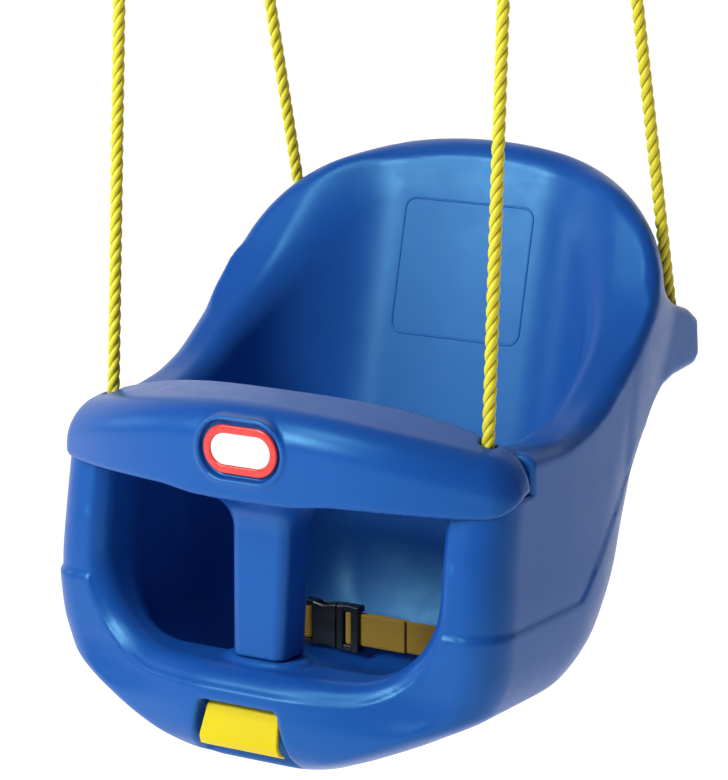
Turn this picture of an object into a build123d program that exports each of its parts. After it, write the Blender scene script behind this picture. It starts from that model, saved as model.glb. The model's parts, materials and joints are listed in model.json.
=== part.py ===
from build123d import *
import os
from math import sin, cos, radians

# Toddler bucket swing: a double-walled moulded bucket seat on four ropes, closed in front by a lift-up T-bar.
# Millimetres, +Z up, -Y is the front, where the child's legs come through, and +X is the right side seen from the front.
# The origin is on the ground plane under the middle of the seat's box.

# ---------------------------------------------------------------- driving sizes
seat_half_width = 193.0  # at the ledge that the T-bar rests on
back_lean = 0.24  # rearward travel of the back for each millimetre of height
back_reference = (120.0, 317.0)  # Y and Z of the middle of the back's inner face
ledge_height = 212.0  # where the T-bar rests on the front pillars
arm_step = -90.0  # Y of the step behind the T-bar's end
floor_height = 28.0

rope_diameter = 9.5
rope_hole_diameter = 13.0
front_rope_point = (160.0, -115.0, 248.0)  # right front rope at the top of the T-bar; the left one is its mirror
front_rope_lean = 2.9  # degrees, rearward going up
front_rope_top = 362.0  # along the rope from that point to the eye's collar
rear_rope_point = (161.0, 156.0, 302.0)  # right rear rope at the top of its lug
rear_rope_lean = -14.9  # degrees, forward going up
rear_rope_top = 292.0
knot_diameter, knot_height = 21.0, 20.0
washer_diameter, washer_thickness, washer_hole = 21.5, 2.0, 10.6
eye_bore, eye_outside, eye_width = 20.0, 38.0, 11.0

stem_width, stem_depth = 46.0, 36.0
stem_middle = -150.0  # Y of the stem's middle at the height of the seat's lip
lip_height = 78.0
tongue_width, tongue_depth, tongue_length = 34.0, 20.0, 54.0
socket_clearance = 1.2

latch_width = 61.0
latch_pivot = (-178.0, 43.0)  # Y and Z of the latch's pin
recess_back = -166.0  # Y of the latch recess's back wall
pin_diameter = 4.0

belt_width, belt_thickness = 25.0, 1.6
belt_height, belt_line = 55.0, 10.0  # Z of the belt's middle, and Y of the run across the lap
belt_slot_x = 100.0
anchor_line, anchor_diameter = 64.0, 5.0  # Y of the stop bars behind the back wall
buckle_left, buckle_mouth, buckle_right = -72.0, -42.0, -21.5  # X of the buckle's ends and of the female's mouth
buckle_height, buckle_depth = 36.0, 11.0
buckle_bar_radius = 2.2
strap_gap = 0.35  # between webbing and what it lies on

os.makedirs("parts", exist_ok=True)


def finish(builder, name):
    """Label a finished piece and write it as its own node."""
    builder.part.label = name
    export_step(builder.part, f"parts/{name}.step")


def rope_frame(point, side, lean, along=0.0):
    """A plane across a rope: its origin is on the rope, its normal runs up the rope. side is 1 right, -1 left."""
    tilt = radians(lean)
    x, y, z = point
    return Plane(
        origin=(side * x, y + along * sin(tilt), z + along * cos(tilt)),
        x_dir=(1, 0, 0),
        z_dir=(0, sin(tilt), cos(tilt)),
    )


def ring_section(height, half_width, front, rear, front_radius, rear_radius):
    """One level outline of the seat: straight sides with rounder corners at the back than at the front."""
    with BuildSketch(Plane.XY.offset(height)) as section:
        with BuildLine():
            f_in, r_in = half_width - front_radius, half_width - rear_radius
            Line((-f_in, front), (f_in, front))
            RadiusArc((f_in, front), (half_width, front + front_radius), -front_radius)
            Line((half_width, front + front_radius), (half_width, rear - rear_radius))
            RadiusArc((half_width, rear - rear_radius), (r_in, rear), -rear_radius)
            Line((r_in, rear), (-r_in, rear))
            RadiusArc((-r_in, rear), (-half_width, rear - rear_radius), -rear_radius)
            Line((-half_width, rear - rear_radius), (-half_width, front + front_radius))
            RadiusArc((-half_width, front + front_radius), (-f_in, front), -front_radius)
        make_face()
    return section.sketch


def back_face(height):
    """Y of the back's inner face at a height."""
    return back_reference[0] + (height - back_reference[1]) * back_lean


front_seat_top = (ledge_height - front_rope_point[2]) / cos(radians(front_rope_lean))  # along the front rope
front_plate, rear_plate = 8.0, 14.0  # thickness of wall that each stop knot pulls against
lift_tilt = radians(front_rope_lean)
lift_plane = Plane(origin=(0, stem_middle, lip_height), x_dir=(1, 0, 0), z_dir=(0, sin(lift_tilt), cos(lift_tilt)))
badge_plane = Plane(origin=(0, -183.0, 236.0), x_dir=(1, 0, 0), z_dir=(0, -1, 0))

# ---------------------------------------------------------------- seat shell
# Outer skin, level by level: height, half width, front, rear, front corner, rear corner.
# The lower bowl swells forward as a chin below the lip, and the back leans.
outer_levels = [
    (0, 44, -160, -50, 30, 38),
    (4, 61.5, -165, -23, 36, 56),
    (10, 73, -177, 0, 38, 68),
    (20, 98, -185, 20, 38, 92),
    (38, 136, -186, 45, 36, 118),
    (60, 173, -174, 68, 34, 125),
    (92, 187, -165, 89, 32, 122),
    (150, 191, -152.5, 113, 30, 118),
    (ledge_height, seat_half_width, -149.5, 136, 30, 115),
    (317, 193, -149.5, 162, 30, 104),
    (365, 190, -149.5, 168, 30, 120),
    (440, 189, -149.5, 176, 30, 125),
]
inner_levels = [
    (floor_height, 84, -118, 14, 42, 60),
    (36, 108, -124, 31, 45, 68),
    (50, 125, -129, 45, 45, 76),
    (75, 138, -131, 56, 45, 83),
    (110, 144, -128, 67, 45, 85),
    (150, 145, -123, 79, 45, 85),
    (ledge_height, 145, -118, back_face(ledge_height), 45, 85),
    (317, 145, -114, back_face(317), 45, 85),
    (450, 145, -112, back_face(450), 45, 85),
]

with BuildPart() as seat_shell:
    loft([ring_section(*level) for level in outer_levels], ruled=True)
    # lugs behind the back that the rear ropes pass through
    for side in (-1, 1):
        with BuildSketch(Plane.YZ.offset(side * 156)) as lug_side:
            Polygon((60, 322), (156, 302), (186, 288), (194, 262), (137, 245), (60, 235), align=None)
            fillet(lug_side.vertices().filter_by(lambda v: v.X > 140), 9)
        extrude(amount=23, both=True)
        # boss behind the back wall that the lap belt's stop bar bears on
        with Locations((side * belt_slot_x, anchor_line - 31, belt_height + 1)):
            Box(36, 60, belt_width + 21)
    # seating cavity
    loft([ring_section(*level) for level in inner_levels], ruled=True, mode=Mode.SUBTRACT)
    # arms: everything above the line that sweeps from the front ledge up into the back
    with BuildSketch(Plane.YZ) as above_arms:
        with BuildLine():
            ledge = Polyline((arm_step, 240), (arm_step, ledge_height), (-260, ledge_height), (-260, 470), (146, 470))
            Spline((arm_step, 240), (-61, 240), (-1, 255), (61, 301), (98, 346), (118, 380), (131, 411), (146, 470))
        make_face()
    extrude(amount=260, both=True, mode=Mode.SUBTRACT)
    # arched top of the back
    with BuildSketch(Plane.XZ) as above_arch:
        with BuildLine():
            Spline((-201, 300), (-168, 364), (-123, 391), (-66, 408), (0, 413.5), (66, 408), (123, 391), (168, 364), (201, 300))
            Polyline((201, 300), (260, 300), (260, 480), (-260, 480), (-260, 300), (-201, 300))
        make_face()
    extrude(amount=-260, mode=Mode.SUBTRACT)
    # leg openings, one on each side of the stem
    with BuildSketch(Plane.XZ.offset(100)) as legs:
        with Locations((0, lip_height - 3)):
            Rectangle(290, 155, align=(Align.CENTER, Align.MIN))
        fillet(legs.vertices().group_by(Axis.Y)[0], 65)
    extrude(amount=120, mode=Mode.SUBTRACT)
    # raised ring round the foot of the stem
    with BuildSketch(Plane.XY.offset(lip_height - 14)) as stem_ring:
        with Locations((0, stem_middle)):
            Ellipse(35, 20)
    extrude(amount=14)
    # socket for the T-bar's tongue, along the line it lifts on
    with Locations(lift_plane * Location((0, 0, 20 - tongue_length / 2))):
        Box(tongue_width + 2 * socket_clearance, tongue_depth + 2 * socket_clearance, tongue_length + 44,
            mode=Mode.SUBTRACT)
    # latch recess, open in front and below, with the latch's nose window behind it
    with BuildSketch(Plane.XZ.offset(-recess_back)) as recess:
        Polygon((-33, 53), (33, 53), (36, 28), (46, -8), (-46, -8), (-36, 28), align=None)
    extrude(amount=60, mode=Mode.SUBTRACT)
    with Locations((0, recess_back + 3, 38)):
        Box(30, 10, 30, mode=Mode.SUBTRACT)
    with Locations(Plane(origin=(0, *latch_pivot), z_dir=(1, 0, 0))):
        Cylinder(pin_diameter / 2 + 0.02, 84, mode=Mode.SUBTRACT)
    for side in (-1, 1):
        # front rope: hole down through the ledge, and room for its knot in the hollow of the wall
        with Locations(rope_frame(front_rope_point, side, front_rope_lean, front_seat_top)):
            Cylinder(rope_hole_diameter / 2, 60, mode=Mode.SUBTRACT)
        with Locations(rope_frame(front_rope_point, side, front_rope_lean, front_seat_top - front_plate - 14)):
            Cylinder(11.2, 28, mode=Mode.SUBTRACT)
        # rear rope: hole down through the lug, and the knot's pocket, open below
        with Locations(rope_frame(rear_rope_point, side, rear_rope_lean)):
            Cylinder(rope_hole_diameter / 2, 60, mode=Mode.SUBTRACT)
        with Locations(rope_frame(rear_rope_point, side, rear_rope_lean, -rear_plate - 40)):
            Cylinder(14, 80, mode=Mode.SUBTRACT)
        # belt slot through the back wall, and the stop bar's recess behind it
        with Locations((side * belt_slot_x, 45, belt_height)):
            Box(4.4, 90, belt_width + 3, mode=Mode.SUBTRACT)
        with Locations((side * belt_slot_x, anchor_line + 14, belt_height)):
            Box(30, 42, belt_width + 14, mode=Mode.SUBTRACT)

finish(seat_shell, "seat_shell")

# ---------------------------------------------------------------- T-bar
bar_end, bar_top, bar_bottom = 197.0, 272.0, 201.0
with BuildPart() as t_bar:
    # front view of the bar
    with BuildSketch(Plane.XZ) as bar_front:
        with BuildLine():
            ThreePointArc((-176, 247), (0, bar_top), (176, 247))
            Polyline((176, 247), (187, 240), (bar_end - 1, 218), (bar_end, 209), (bar_end - 6, bar_bottom))
            Polyline((bar_end - 6, bar_bottom), (90, 206), (-90, 206), (6 - bar_end, bar_bottom))
            Polyline((-176, 247), (-187, 240), (1 - bar_end, 218), (-bar_end, 209), (6 - bar_end, bar_bottom))
        make_face()
    extrude(amount=260)
    # plan view, bowed forward
    with BuildSketch(Plane.XY) as bar_plan:
        with BuildLine():
            ThreePointArc((-bar_end, -137), (0, -187), (bar_end, -137))
            Line((bar_end, -137), (bar_end, -94))
            ThreePointArc((bar_end, -94), (0, -130), (-bar_end, -94))
            Line((-bar_end, -94), (-bar_end, -137))
        make_face()
        fillet(bar_plan.vertices().group_by(Axis.Y)[0], 14)
        fillet(bar_plan.vertices().group_by(Axis.Y)[-1], 20)
    extrude(amount=300, mode=Mode.INTERSECT)
    # the bar's ends rest on the pillars' ledge, behind a lip that hangs in front of them
    with BuildSketch(Plane.XY.offset(bar_bottom - 2)) as pillar_tops:
        with Locations((0, -52.5)):
            RectangleRounded(2 * seat_half_width + 1, 196, 30)
        Rectangle(284, 400, mode=Mode.SUBTRACT)
    extrude(amount=ledge_height + 0.3 - bar_bottom + 2, mode=Mode.SUBTRACT)
    # stem, flaring into the bar
    half_stem = stem_width / 2
    with BuildSketch(Plane.XZ.offset(-stem_middle - stem_depth / 2)) as stem:
        with BuildLine():
            Line((-half_stem + 2, lip_height + 2.3), (half_stem - 2, lip_height + 2.3))
            Line((half_stem - 2, lip_height + 2.3), (half_stem + 1, 168))
            ThreePointArc((half_stem + 1, 168), (half_stem + 12, 194), (half_stem + 38, 205))
            Line((half_stem + 38, 205), (half_stem + 38, 212))
            Line((half_stem + 38, 212), (-half_stem - 38, 212))
            Line((-half_stem - 38, 212), (-half_stem - 38, 205))
            ThreePointArc((-half_stem - 38, 205), (-half_stem - 12, 194), (-half_stem - 1, 168))
            Line((-half_stem - 1, 168), (-half_stem + 2, lip_height + 2.3))
        make_face()
    extrude(amount=stem_depth)
    # tongue that plugs into the seat, with the catch that the latch's nose holds
    with Locations(lift_plane * Location((0, 0, 3 - tongue_length / 2))):
        Box(tongue_width, tongue_depth, tongue_length + 6)
    with Locations((0, stem_middle - 13, 37)):
        Box(tongue_width + 2, 8, 12, mode=Mode.SUBTRACT)
    # rope holes
    for side in (-1, 1):
        with Locations(rope_frame(front_rope_point, side, front_rope_lean, -20)):
            Cylinder(rope_hole_diameter / 2, 120, mode=Mode.SUBTRACT)
    # shallow seat for the badge
    with BuildSketch(badge_plane) as badge_seat:
        SlotOverall(68, 41)
    extrude(amount=12, mode=Mode.SUBTRACT)

finish(t_bar, "t_bar")

with BuildPart() as badge_bezel:
    with BuildSketch(badge_plane.offset(0.0)) as bezel_face:
        SlotOverall(62, 35)
        SlotOverall(50, 23, mode=Mode.SUBTRACT)
    extrude(amount=3.2)
    fillet(badge_bezel.edges().group_by(Axis.Y)[0], 0.8)
finish(badge_bezel, "badge_bezel")

with BuildPart() as badge_plate:
    with BuildSketch(badge_plane) as plate_face:
        SlotOverall(49.9, 22.9)
    extrude(amount=2.2)
finish(badge_plate, "badge_plate")

# ---------------------------------------------------------------- latch
pivot_y, pivot_z = latch_pivot
with BuildPart() as latch_lever:
    with BuildSketch(Plane.YZ) as finger_plate:
        Polygon((-183.5, 51), (-186.5, 48), (-191.728, 22), (-186, 9), (-181, 8), (-181, 11), (-185, 13),
                (-188, 23), (-183.5, 44), (-180, 47), (-180, 50), align=None)
    extrude(amount=latch_width / 2, both=True)
    with BuildSketch(Plane.YZ) as knuckle:
        with Locations(latch_pivot):
            Circle(5.5)
        Polygon((-184.5, 48), (-186.5, 35), (pivot_y, 36), (pivot_y, 48), align=None)
    extrude(amount=13, both=True)
    with BuildSketch(Plane.YZ) as nose:
        Polygon((-180, 40), (-173, 40.5), (-164.3, 38.5), (-164.3, 36), (-167, 34), (-180, 36), align=None)
    extrude(amount=11, both=True)
    with Locations(Plane(origin=(0, pivot_y, pivot_z), z_dir=(1, 0, 0))):
        Cylinder(pin_diameter / 2 + 0.06, 80, mode=Mode.SUBTRACT)
finish(latch_lever, "latch_lever")

with BuildPart() as latch_pin:
    with Locations(Plane(origin=(0, pivot_y, pivot_z), z_dir=(1, 0, 0))):
        Cylinder(pin_diameter / 2, 80)
    chamfer(latch_pin.edges(), 0.4)
finish(latch_pin, "latch_pin")

# torsion spring on the pin: coils beside the knuckle, one leg on the recess wall
spring_wire, spring_radius, spring_turns = 1.2, 3.2, 4
with BuildPart() as latch_spring:
    with BuildLine() as coil:
        Helix(pitch=1.5, height=1.5 * spring_turns, radius=spring_radius, center=(15.5, pivot_y, pivot_z),
              direction=(1, 0, 0))
    with BuildSketch(Plane(origin=coil.line @ 0, z_dir=coil.line % 0)) as wire:
        Circle(spring_wire / 2)
    sweep(is_frenet=True)
finish(latch_spring, "latch_spring")

# ---------------------------------------------------------------- ropes, with their knots, washers and top eyes
rope_sets = {
    "front": (front_rope_point, front_rope_lean, front_seat_top - front_plate, front_rope_top),
    "rear": (rear_rope_point, rear_rope_lean, -rear_plate, rear_rope_top),
}
for row, (point, lean, plate_under, top) in rope_sets.items():
    for side, hand in ((-1, "left"), (1, "right")):
        knot_top = plate_under - washer_thickness - 0.2
        with BuildPart() as washer:
            with BuildSketch(rope_frame(point, side, lean, plate_under - 0.1 - washer_thickness)):
                Circle(washer_diameter / 2)
                Circle(washer_hole / 2, mode=Mode.SUBTRACT)
            extrude(amount=washer_thickness)
        finish(washer, f"rope_washer_{row}_{hand}")

        with BuildPart() as knot:
            with BuildSketch(rope_frame(point, side, lean, knot_top - knot_height)):
                Circle(knot_diameter / 2)
            extrude(amount=knot_height)
            fillet(knot.edges(), 5)
        finish(knot, f"rope_knot_{row}_{hand}")

        with BuildPart() as rope:
            with BuildSketch(rope_frame(point, side, lean, knot_top)):
                Circle(rope_diameter / 2)
            extrude(amount=top - knot_top)
        finish(rope, f"rope_{row}_{hand}")

        with BuildPart() as eye:
            with BuildSketch(rope_frame(point, side, lean, top)):
                Circle(8)
            extrude(amount=30)
            ring_frame = rope_frame(point, side, lean, top + 26 + eye_outside / 2)
            ring_plane = Plane(origin=ring_frame.origin, z_dir=(1, 0, 0))
            with Locations(ring_plane):
                Cylinder(eye_outside / 2, eye_width)
                Cylinder(eye_bore / 2, eye_width + 2, mode=Mode.SUBTRACT)
        finish(eye, f"rope_eye_{row}_{hand}")

# ---------------------------------------------------------------- lap belt and buckle
belt_bottom = belt_height - belt_width / 2
turn = 9.0
loop_radius = anchor_diameter / 2 + strap_gap + belt_thickness / 2
bar_loop = buckle_bar_radius + strap_gap + belt_thickness / 2
female_bar, male_bar = buckle_left + 3, buckle_mouth + 10.7
channel_height, channel_depth = 25.0, 6.6
male_left, male_base = buckle_mouth + 0.3, 5.7
prong_root, prong_spread, prong_root_radius = male_left + 3.0, 8.8, 1.9
window_middle = buckle_mouth - 12.0
for side, hand in ((-1, "left"), (1, "right")):
    with BuildPart() as anchor:
        with BuildSketch(Plane.XY.offset(belt_height - belt_width / 2 - 3)):
            with Locations((side * belt_slot_x, anchor_line)):
                Circle(anchor_diameter / 2)
        extrude(amount=belt_width + 6)
        chamfer(anchor.edges(), 0.6)
    finish(anchor, f"belt_anchor_{hand}")

    with BuildPart() as belt:
        with BuildSketch(Plane.XY.offset(belt_bottom)) as belt_plan:
            slot = side * belt_slot_x
            run_end = buckle_left - 5 if side < 0 else buckle_right + 27.5
            with BuildLine():
                Line((run_end, belt_line), (slot - side * turn, belt_line))
                RadiusArc((slot - side * turn, belt_line), (slot, belt_line + turn), -side * turn)
                Line((slot, belt_line + turn), (slot, anchor_line - 8))
            trace(line_width=belt_thickness)
            with BuildLine():
                Line((slot, anchor_line - 9), (slot + loop_radius, anchor_line))
                ThreePointArc((slot + loop_radius, anchor_line), (slot, anchor_line + loop_radius),
                              (slot - loop_radius, anchor_line))
                Line((slot - loop_radius, anchor_line), (slot, anchor_line - 9))
            trace(line_width=belt_thickness)
            if side < 0:
                # folded round the female's bar and sewn back on itself
                with BuildLine():
                    Line((run_end, belt_line), (female_bar, belt_line - bar_loop))
                    ThreePointArc((female_bar, belt_line - bar_loop), (female_bar + bar_loop, belt_line),
                                  (female_bar, belt_line + bar_loop))
                    Line((female_bar, belt_line + bar_loop), (run_end, belt_line))
                trace(line_width=belt_thickness)
        extrude(amount=belt_width)
    finish(belt, f"belt_{hand}")

# the adjustable end: webbing folded round the male's bar, its two layers lying each side of the right strap
layer = belt_thickness + strap_gap
loop_end = buckle_right + 39.5
with BuildPart() as belt_loop:
    with BuildSketch(Plane.XY.offset(belt_bottom)) as loop_plan:
        with BuildLine():
            Line((loop_end, belt_line - layer), (male_bar + 5, belt_line - layer))
            Line((male_bar + 5, belt_line - layer), (male_bar, belt_line - bar_loop))
            ThreePointArc((male_bar, belt_line - bar_loop), (male_bar - bar_loop, belt_line),
                          (male_bar, belt_line + bar_loop))
            Line((male_bar, belt_line + bar_loop), (male_bar + 5, belt_line + layer))
            Line((male_bar + 5, belt_line + layer), (loop_end, belt_line + layer))
        trace(line_width=belt_thickness)
    extrude(amount=belt_width)
finish(belt_loop, "belt_loop")

cheek = (buckle_height - belt_width - 1) / 2
with BuildPart() as buckle_female:
    housing_left = buckle_left + 8
    housing_length = buckle_mouth - housing_left
    with Locations((housing_left + housing_length / 2, belt_line, belt_height)):
        Box(housing_length, buckle_depth, buckle_height)
    fillet(buckle_female.edges().filter_by(Axis.X), 2.5)
    # channel for the male's prongs and guide, and the two windows where the prongs are squeezed
    with Locations((buckle_mouth - 10, belt_line, belt_height)):
        Box(22, channel_depth, channel_height, mode=Mode.SUBTRACT)
    with Locations((window_middle, belt_line, belt_height)):
        Box(10, channel_depth, buckle_height + 2, mode=Mode.SUBTRACT)
    for end in (-1, 1):
        with Locations((buckle_left + 4.5, belt_line, belt_height + end * (buckle_height - cheek) / 2)):
            Box(9, buckle_depth - 3, cheek)
    with Locations((female_bar, belt_line, belt_height)):
        Cylinder(buckle_bar_radius, buckle_height - 1)
finish(buckle_female, "buckle_female")

with BuildPart() as buckle_male:
    with Locations((male_left + male_base / 2, belt_line, belt_height)):
        Box(male_base, buckle_depth - 1, buckle_height)
    fillet(buckle_male.edges().filter_by(Axis.X), 2.5)
    # guide blade between the prongs
    with Locations((male_left - 8, belt_line, belt_height)):
        Box(18, 3.2, 6)
    # cheeks, the bar that the webbing folds round, and the end bar in front of the folded webbing
    cheeks_length = buckle_right - male_left - male_base + 1
    for end in (-1, 1):
        with Locations((buckle_right - cheeks_length / 2, belt_line, belt_height + end * (buckle_height - cheek) / 2)):
            Box(cheeks_length, buckle_depth - 2, cheek)
        # round seats for the prongs' roots, open towards the female
        with Locations(Plane(origin=(prong_root, belt_line, belt_height + end * prong_spread), z_dir=(0, 1, 0))):
            Cylinder(prong_root_radius + 0.08, 5.8, mode=Mode.SUBTRACT)
        with Locations((male_left + 0.6, belt_line, belt_height + end * prong_spread)):
            Box(3, 5.8, 3.8, mode=Mode.SUBTRACT)
    with Locations((male_bar, belt_line, belt_height)):
        Cylinder(buckle_bar_radius, buckle_height - 1)
    end_bar_face = belt_line - layer - belt_thickness / 2 - 2.5 * strap_gap
    with Locations((buckle_right - 3.4, end_bar_face - 1.1, belt_height)):
        Box(6.8, 2.2, buckle_height)
finish(buckle_male, "buckle_male")

for end, hand in ((1, "upper"), (-1, "lower")):
    with BuildPart() as prong:
        with BuildSketch(Plane(origin=(0, belt_line, belt_height), x_dir=(1, 0, 0), z_dir=(0, -1, 0))) as arm:
            tip = prong_root - 20
            outer = channel_height / 2 - 0.3
            Polygon((prong_root, end * (prong_spread - 1.3)), (tip, end * (prong_spread - 1.3)),
                    (tip, end * (outer - 1.6)), (tip + 3, end * outer), (tip + 11, end * outer),
                    (tip + 13, end * (prong_spread + 1.3)), (prong_root, end * (prong_spread + 1.3)), align=None)
            with Locations((prong_root, end * prong_spread)):
                Circle(prong_root_radius)
        extrude(amount=2.6, both=True)
    finish(prong, f"buckle_prong_{hand}")
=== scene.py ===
"""Looks for a toddler bucket swing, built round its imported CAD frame.

The seat, the T-bar and the small mouldings are shaped as rounded solids: each has a function that gives,
for points in millimetres, how far they are outside its surface. A net is drawn round the places where that
is zero.
"""

import json
import math

import bpy
import numpy as np
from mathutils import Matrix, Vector


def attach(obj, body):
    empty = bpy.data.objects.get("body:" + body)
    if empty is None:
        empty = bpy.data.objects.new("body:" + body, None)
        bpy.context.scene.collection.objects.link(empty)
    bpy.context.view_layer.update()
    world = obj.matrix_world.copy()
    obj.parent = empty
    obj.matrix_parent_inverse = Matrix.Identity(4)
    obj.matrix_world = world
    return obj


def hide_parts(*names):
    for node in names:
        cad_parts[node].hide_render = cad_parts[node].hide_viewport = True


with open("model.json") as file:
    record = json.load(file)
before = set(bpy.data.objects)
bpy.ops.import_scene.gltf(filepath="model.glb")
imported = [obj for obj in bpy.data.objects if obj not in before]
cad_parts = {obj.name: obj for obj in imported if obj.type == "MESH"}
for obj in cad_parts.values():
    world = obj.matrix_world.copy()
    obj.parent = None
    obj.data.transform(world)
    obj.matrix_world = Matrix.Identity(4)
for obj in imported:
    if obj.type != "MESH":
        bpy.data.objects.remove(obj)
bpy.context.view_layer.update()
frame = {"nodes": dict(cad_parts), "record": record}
MM = 0.001


# ------------------------------------------------------------------ camera
CAMERA_AZIMUTH, CAMERA_ELEVATION = math.radians(32.0), math.radians(12.328)


def make_camera():
    data = bpy.data.cameras.new("camera")
    data.lens = 160.37
    data.sensor_width = 36.0
    camera = bpy.data.objects.new("camera", data)
    bpy.context.scene.collection.objects.link(camera)
    back = Vector((
        math.sin(CAMERA_AZIMUTH) * math.cos(CAMERA_ELEVATION),
        -math.cos(CAMERA_AZIMUTH) * math.cos(CAMERA_ELEVATION),
        math.sin(CAMERA_ELEVATION),
    ))
    camera.rotation_euler = back.to_track_quat("Z", "Y").to_euler()
    camera.location = (1.3276, -2.1460, 0.7970)
    data.clip_end = 100.0
    bpy.context.scene.camera = camera


make_camera()


# ------------------------------------------------------------------ rounded solids
def round_max(a, b, radius):
    """The part that two solids share, its new edge rounded."""
    u, v = np.maximum(a + radius, 0.0), np.maximum(b + radius, 0.0)
    return np.minimum(np.maximum(a, b), -radius) + np.sqrt(u * u + v * v)


def round_min(a, b, radius):
    """Two solids joined, with a fillet between them."""
    return -round_max(-a, -b, radius)


def cut(a, b, radius):
    """Solid a with solid b taken out of it, the rim rounded."""
    return round_max(a, -b, radius)


def ease(t):
    """From 0 to 1, level at both ends."""
    t = np.clip(t, 0.0, 1.0)
    return t * t * (3 - 2 * t)


def curve_through(*points):
    """A smooth curve through (place, value) pairs that doesn't overshoot between them."""
    at = np.array([p[0] for p in points], float)
    value = np.array([p[1] for p in points], float)
    run = np.diff(at)
    rate = np.diff(value) / run
    slope = np.zeros_like(value)
    slope[0], slope[-1] = rate[0], rate[-1]
    same_way = rate[:-1] * rate[1:] > 0
    slope[1:-1] = np.where(same_way, 2 * rate[:-1] * rate[1:] / (rate[:-1] + rate[1:] + 1e-12), 0)

    def evaluate(x):
        x = np.clip(x, at[0], at[-1])
        i = np.clip(np.searchsorted(at, x, side="right") - 1, 0, len(run) - 1)
        t = (x - at[i]) / run[i]
        t2, t3 = t * t, t * t * t
        start = (2 * t3 - 3 * t2 + 1) * value[i] + (t3 - 2 * t2 + t) * run[i] * slope[i]
        return start + (3 * t2 - 2 * t3) * value[i + 1] + (t3 - t2) * run[i] * slope[i + 1]

    return evaluate


def polyline_distance(u, v, points):
    """How far points (u, v) are from a line through the given points."""
    shape = np.broadcast(u, v).shape
    nearest = np.full(shape, 1e18)
    for (au, av), (bu, bv) in zip(points[:-1], points[1:]):
        du, dv = bu - au, bv - av
        t = np.clip(((u - au) * du + (v - av) * dv) / (du * du + dv * dv), 0, 1)
        nearest = np.minimum(nearest, (u - au - du * t) ** 2 + (v - av - dv * t) ** 2)
    return np.sqrt(nearest)


def polygon(u, v, points):
    """How far points (u, v) are outside a polygon, negative within it."""
    inside = np.zeros(np.broadcast(u, v).shape, bool)
    for (au, av), (bu, bv) in zip(points, points[1:] + points[:1]):
        if av == bv:
            continue
        crosses = (v >= min(av, bv)) & (v < max(av, bv))
        inside ^= crosses & (u < au + (v - av) * (bu - au) / (bv - av))
    distance = polyline_distance(u, v, points + points[:1])
    return np.where(inside, -distance, distance)


def slab(value, low, high):
    """How far a value is outside a range."""
    return np.maximum(low - value, value - high)


def box_solid(x, y, z, low, high, radius):
    """A box between two corners, its edges rounded."""
    square = round_max(slab(x, low[0], high[0]), slab(y, low[1], high[1]), radius)
    return round_max(square, slab(z, low[2], high[2]), radius)


def stadium(u, v, length, width):
    """A flat oval with straight sides and round ends."""
    return np.hypot(np.maximum(np.abs(u) - (length - width) / 2, 0), v) - width / 2


def spread(*stretches):
    """Grid lines along one axis, from (start, spacing) pairs; the last pair's start is the end."""
    lines = []
    for (start, spacing), (end, _) in zip(stretches[:-1], stretches[1:]):
        count = max(1, round((end - start) / spacing))
        lines.extend(start + (end - start) * k / count for k in range(count))
    lines.append(stretches[-1][0])
    return np.array(lines)


def both_ways(*stretches):
    """Grid lines like spread's, mirrored about zero."""
    half = spread(*stretches)
    return np.concatenate([-half[:0:-1], half])


def net(field, xs, ys, zs):
    """Corners and four-sided faces of a net round a field's zero surface."""
    axes = (xs, ys, zs)
    size = (len(xs), len(ys), len(zs))
    values = np.broadcast_to(field(xs[:, None, None], ys[None, :, None], zs[None, None, :]), size)
    inside = values < 0
    cells = np.array(size) - 1
    total = np.zeros((cells.prod(), 3))
    count = np.zeros(cells.prod())
    faces = []
    for axis in range(3):
        b, c = (axis + 1) % 3, (axis + 2) % 3
        low, high = [slice(None)] * 3, [slice(None)] * 3
        low[axis], high[axis] = slice(None, -1), slice(1, None)
        edge = np.argwhere(inside[tuple(low)] != inside[tuple(high)])
        whole = (edge[:, b] > 0) & (edge[:, b] < cells[b])
        whole &= (edge[:, c] > 0) & (edge[:, c] < cells[c])
        edge = edge[whole]
        far = edge.copy()
        far[:, axis] += 1
        v0, v1 = values[tuple(edge.T)], values[tuple(far.T)]
        point = np.stack([axes[k][edge[:, k]] for k in range(3)], 1)
        point[:, axis] += v0 / (v0 - v1) * (axes[axis][far[:, axis]] - axes[axis][edge[:, axis]])
        ring = []
        for step_b, step_c in ((0, 0), (1, 0), (1, 1), (0, 1)):
            cell = edge.copy()
            cell[:, b] -= step_b
            cell[:, c] -= step_c
            flat = np.ravel_multi_index(cell.T, cells)
            ring.append(flat)
            for k in range(3):
                total[:, k] += np.bincount(flat, point[:, k], len(total))
            count += np.bincount(flat, minlength=len(total))
        ring = np.stack(ring, 1)
        outward = inside[tuple(edge.T)]
        faces.append(np.where(outward[:, None], ring, ring[:, ::-1]))
    used = np.flatnonzero(count)
    number = np.full(len(count), -1)
    number[used] = np.arange(len(used))
    return total[used] / count[used, None], number[np.concatenate(faces)]


def settle(points, field, rounds, reach):
    """Moves points along a field's slope until they lie on its zero surface."""
    probe = 0.15 * reach
    for _ in range(rounds):
        value = field(*points.T)
        slope = np.stack([
            field(*(points + probe * axis).T) - field(*(points - probe * axis).T)
            for axis in np.eye(3)
        ], 1) / (2 * probe)
        steepness = np.maximum((slope ** 2).sum(1), 0.05)
        move = -(value / steepness)[:, None] * slope
        length = np.linalg.norm(move, axis=1)
        move *= np.minimum(1, reach / np.maximum(length, 1e-9))[:, None]
        points = points + move
    return points


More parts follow.
